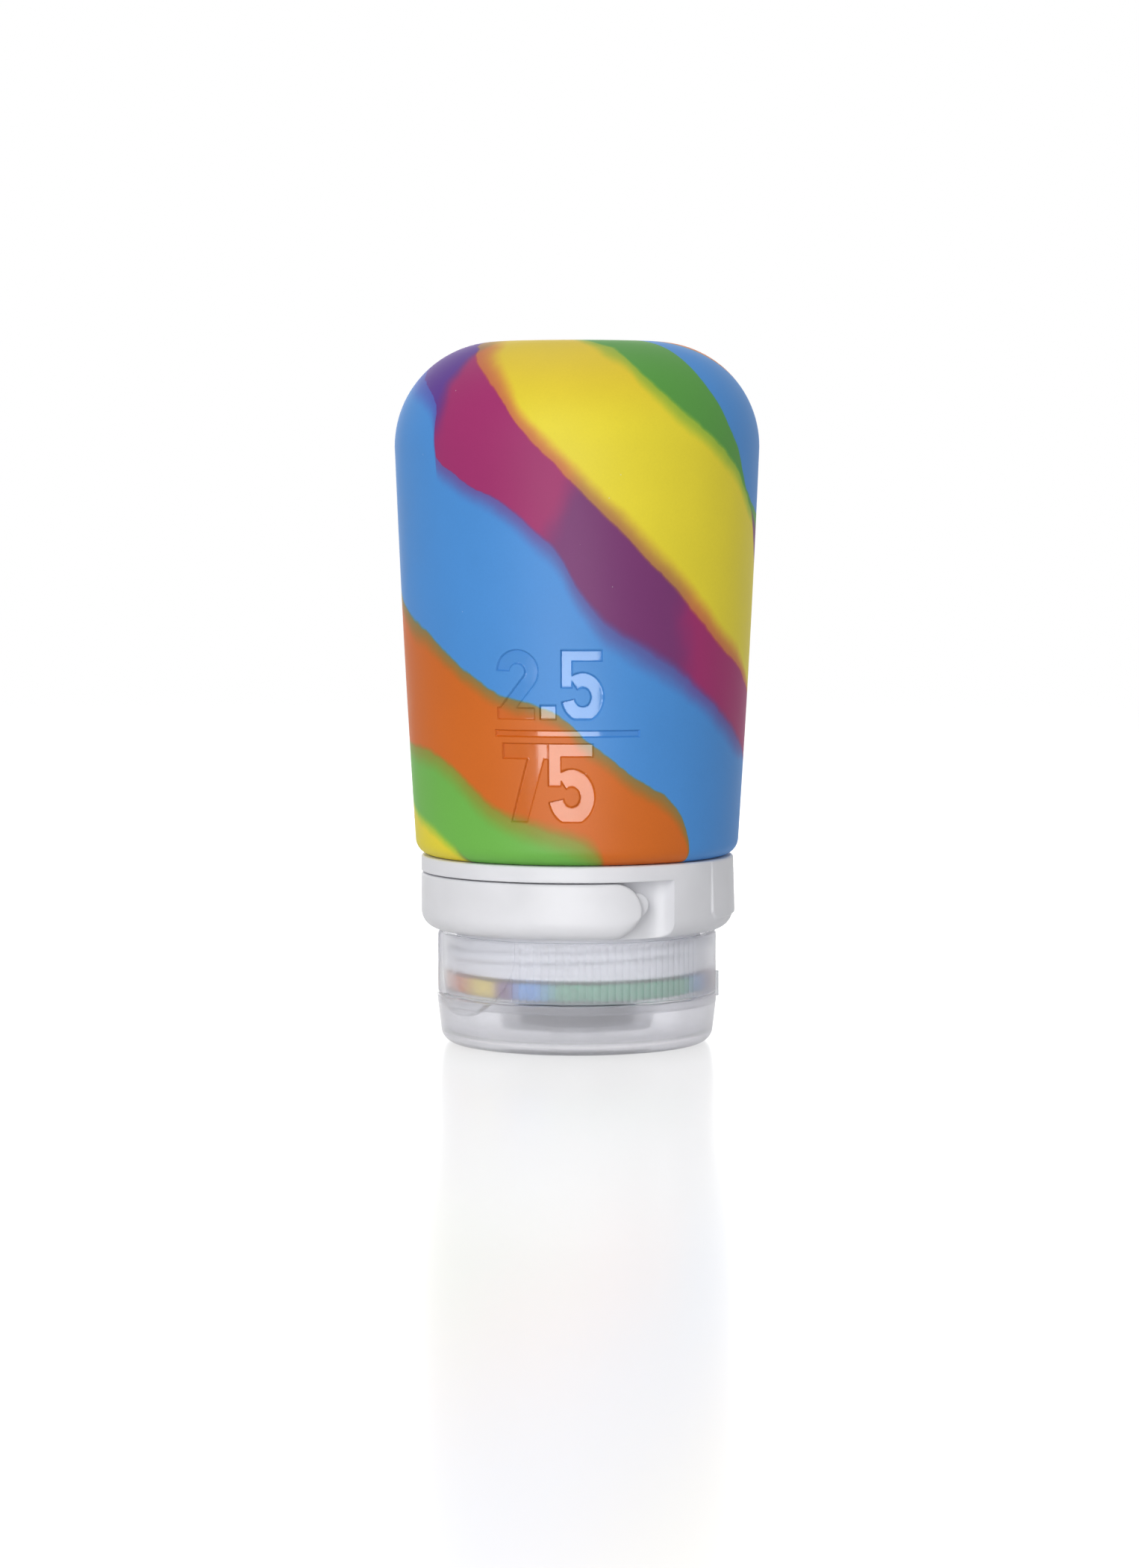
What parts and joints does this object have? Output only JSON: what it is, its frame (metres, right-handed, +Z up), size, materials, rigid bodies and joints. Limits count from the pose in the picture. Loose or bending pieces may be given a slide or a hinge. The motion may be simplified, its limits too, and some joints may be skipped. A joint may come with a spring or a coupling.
{
  "type": "travel bottle",
  "caption": "Soft squeeze bottle standing on its flip lid, with a screw cap, a drip valve, a rigid collar and a swing-out hanging loop.",
  "frame": {"origin": "centre of the lid's flat resting face, on the surface that the bottle stands on", "axes": "+Z up along the bottle's axis, from the lid towards the tube's closed end; -Y is the front; +X is to the right seen from the front"},
  "size_m": [0.049, 0.049, 0.0943],
  "materials": {
    "silicone": "matte soft silicone swirled in blue, purple, magenta, yellow, green and orange",
    "collar_plastic": "white moulded polypropylene, soft gloss",
    "loop_plastic": "white moulded nylon, soft gloss",
    "pin_metal": "plain drawn steel",
    "cap_plastic": "frosted translucent polypropylene, finely ribbed on the skirt",
    "lid_plastic": "frosted translucent polypropylene",
    "hinge_plastic": "thin frosted polypropylene that bends",
    "valve_silicone": "thin translucent grey silicone",
    "retainer_plastic": "natural polypropylene"
  },
  "bodies": {
    "bottle": {"silicone_body": "silicone", "collar": "collar_plastic", "loop_pin": "pin_metal"},
    "loop": {"loop_strap": "loop_plastic"},
    "valve": {"drip_valve": "valve_silicone"},
    "cap": {"screw_cap": "cap_plastic", "valve_retainer": "retainer_plastic"},
    "lid": {"flip_lid": "lid_plastic", "lid_hinge_band": "hinge_plastic"}
  },
  "joints": [
    {"name": "loop_swing", "type": "hinge", "parent": "bottle", "child": "loop", "pos_m": [-0.00978, 0.01693, 0.0206], "axis": [0, 0, -1], "range_deg": [0, 100]},
    {"name": "cap_lift", "type": "slide", "parent": "bottle", "child": "valve", "axis": [0, 0, -1], "range_m": [0, 0.0049]},
    {"name": "cap_turn", "type": "hinge", "parent": "valve", "child": "cap", "pos_m": [0, 0, 0.0067], "axis": [0, 0, -1], "range_deg": [0, 540]},
    {"name": "lid_hinge", "type": "hinge", "parent": "cap", "child": "lid", "pos_m": [0.01581, 0.01107, 0.00685], "axis": [0.5736, -0.8192, 0], "range_deg": [0, 180], "deforming": ["lid_hinge_band"]}
  ],
  "couplings": [
    {"joint": "cap_lift", "follows": "cap_turn", "m_per_rad": 0.0005093}
  ]
}
